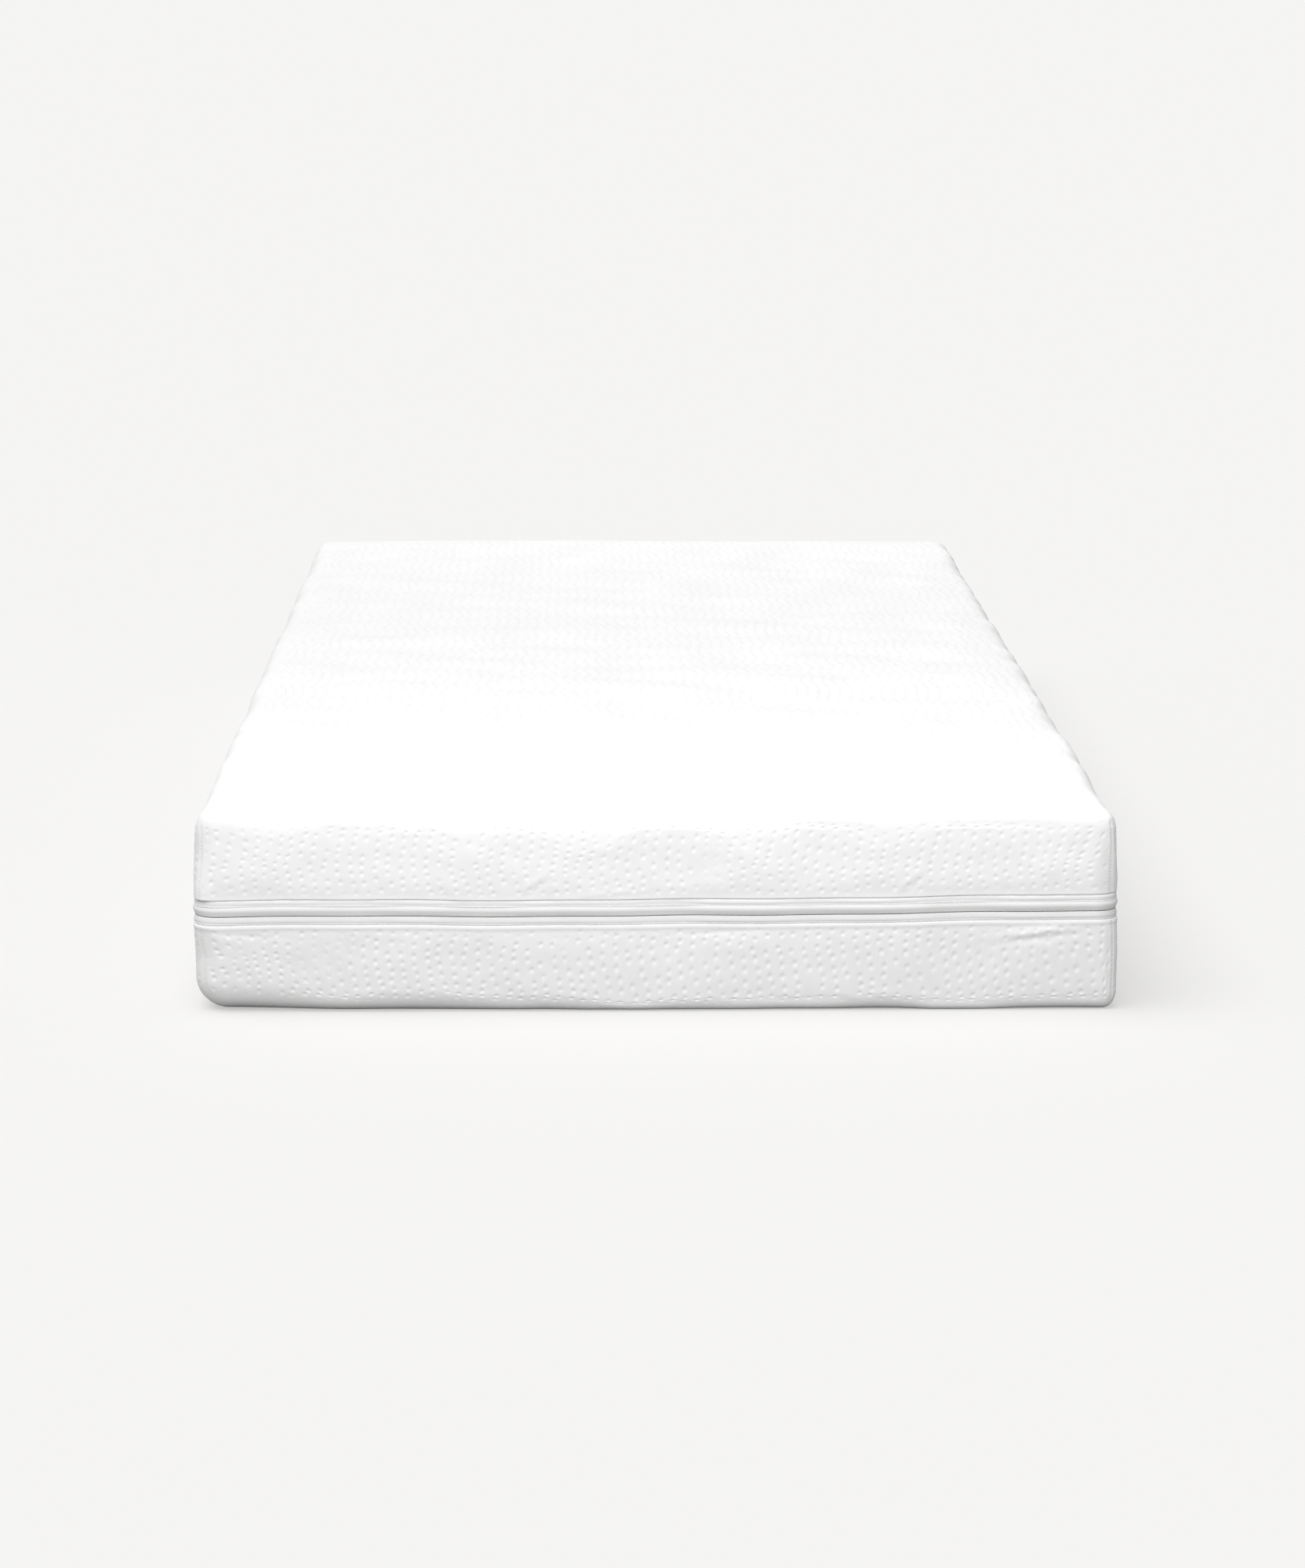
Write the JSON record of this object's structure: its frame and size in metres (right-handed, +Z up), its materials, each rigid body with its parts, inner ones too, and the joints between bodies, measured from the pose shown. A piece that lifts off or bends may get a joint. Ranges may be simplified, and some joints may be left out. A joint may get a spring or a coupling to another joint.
{
  "type": "memory foam mattress",
  "caption": "Flat rounded foam mattress in a white knitted cover, with a concealed zip round the border joining the cover's two halves.",
  "frame": {"origin": "centre of the underside, at floor level", "axes": "+Y along the length towards the end with the parked zip slider, +Z up, +X across the width, towards the side with the label"},
  "size_m": [0.9009, 2.0025, 0.2],
  "materials": {
    "white_knit": "double knit with woven-in pin dimples",
    "white_tape": "smooth woven tape",
    "sewing_thread": "spun thread",
    "fibre_wadding": "lofty fibre wadding",
    "nonwoven_backing": "thin nonwoven",
    "memory_foam": "open-cell viscoelastic foam",
    "transition_foam": "open-cell comfort foam",
    "support_foam": "open-cell firm foam",
    "white_nylon": "satin",
    "satin_label": "satin ribbon",
    "lacquered_zinc": "white lacquer"
  },
  "bodies": {
    "lower_cover": {"bottom_cover_knit": "white_knit", "bottom_cover_wadding": "fibre_wadding", "bottom_cover_backing": "nonwoven_backing", "bottom_corner_seam_front_left": "sewing_thread", "bottom_corner_seam_front_right": "sewing_thread", "bottom_corner_seam_back_left": "sewing_thread", "bottom_corner_seam_back_right": "sewing_thread", "zip_welt": "white_tape", "welt_topstitch": "sewing_thread", "lower_zip_tape": "white_tape", "lower_zip_coil": "white_nylon", "lower_end_stop": "white_nylon", "zip_retainer_box": "white_nylon", "zip_end_tab": "white_tape", "care_label": "satin_label"},
    "core": {"support_foam_base": "support_foam", "transition_foam_layer": "transition_foam", "memory_foam_layer": "memory_foam"},
    "upper_cover": {"top_cover_knit": "white_knit", "top_cover_wadding": "fibre_wadding", "top_cover_backing": "nonwoven_backing", "top_corner_seam_front_left": "sewing_thread", "top_corner_seam_front_right": "sewing_thread", "top_corner_seam_back_left": "sewing_thread", "top_corner_seam_back_right": "sewing_thread", "zip_flap": "white_tape", "flap_topstitch": "sewing_thread", "upper_zip_tape": "white_tape", "upper_zip_coil": "white_nylon", "upper_end_stop": "white_nylon", "zip_insertion_pin": "white_nylon"},
    "slider": {"zip_slider": "lacquered_zinc"},
    "pull": {"zip_pull": "lacquered_zinc"}
  },
  "joints": [
    {"name": "core_lift", "type": "slide", "parent": "lower_cover", "child": "core", "axis": [0, 0, 1], "range_m": [0, 0.12]},
    {"name": "upper_cover_lift", "type": "slide", "parent": "core", "child": "upper_cover", "axis": [0, 0, 1], "range_m": [0, 0.14]},
    {"name": "slider_run", "type": "slide", "parent": "lower_cover", "child": "slider", "axis": [-1, 0, 0], "range_m": [0, 0.77]},
    {"name": "pull_swing", "type": "hinge", "parent": "slider", "child": "pull", "pos_m": [0.36, 1.0008, 0.0954], "axis": [1, 0, 0], "range_deg": [0, 170]}
  ]
}
